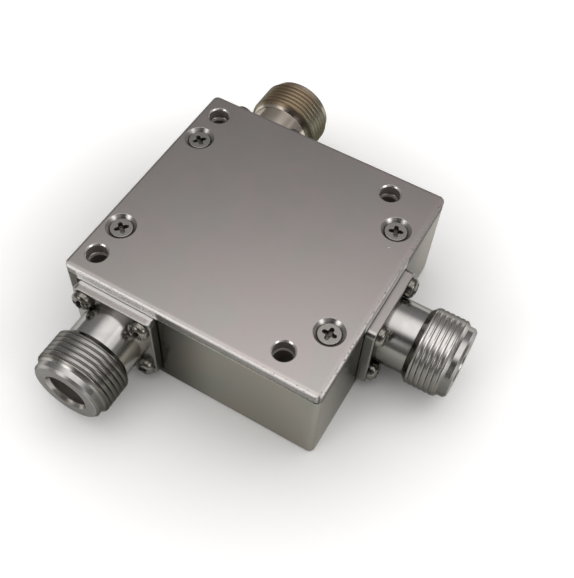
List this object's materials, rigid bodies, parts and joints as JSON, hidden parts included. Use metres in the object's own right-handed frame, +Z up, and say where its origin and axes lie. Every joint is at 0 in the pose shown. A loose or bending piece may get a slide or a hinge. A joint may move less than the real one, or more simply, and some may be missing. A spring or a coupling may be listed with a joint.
{
  "type": "rf circulator",
  "caption": "Coaxial circulator: square plated metal block with a countersunk-screwed lid, corner mounting holes and threaded coaxial sockets on its sides.",
  "frame": {"origin": "middle of the body's underside, between its side faces", "axes": "+Z up out of the lid, +X towards the single port, +Y towards the back port of the in-line pair"},
  "size_m": [0.0712, 0.0864, 0.0225],
  "materials": {
    "plated_housing": "satin nickel plate on milled steel",
    "plated_lid": "satin nickel plate, finely ground",
    "plated_shell": "bright nickel plate on turned brass",
    "plated_screw": "nickel-plated steel screw",
    "white_insulator": "natural white fluoropolymer",
    "gold_contact": "gold plate on spring brass",
    "bare_steel": "ground mild steel",
    "silver_plate": "silver plate on brass sheet",
    "dark_magnet": "sintered ferrite magnet",
    "dark_ferrite": "polished garnet ferrite",
    "white_ceramic": "ground alumina",
    "grey_rubber": "thin silicone pad"
  },
  "bodies": {
    "root": {"housing": "plated_housing", "lid": "plated_lid", "lid_screws": "plated_screw", "port_1_shell": "plated_shell", "port_1_insulator": "white_insulator", "port_1_contact": "gold_contact", "port_1_screws": "plated_screw", "port_2_shell": "plated_shell", "port_2_insulator": "white_insulator", "port_2_contact": "gold_contact", "port_2_screws": "plated_screw", "port_3_shell": "plated_shell", "port_3_insulator": "white_insulator", "port_3_contact": "gold_contact", "port_3_screws": "plated_screw", "lower_magnet": "dark_magnet", "lower_pole_plate": "bare_steel", "lower_ground_plate": "silver_plate", "lower_ferrite": "dark_ferrite", "lower_ceramic_ring": "white_ceramic", "upper_magnet": "dark_magnet", "upper_pole_plate": "bare_steel", "upper_ground_plate": "silver_plate", "upper_ferrite": "dark_ferrite", "upper_ceramic_ring": "white_ceramic", "centre_conductor": "silver_plate", "temperature_plate": "bare_steel", "pressure_pad": "grey_rubber"}
  },
  "joints": []
}
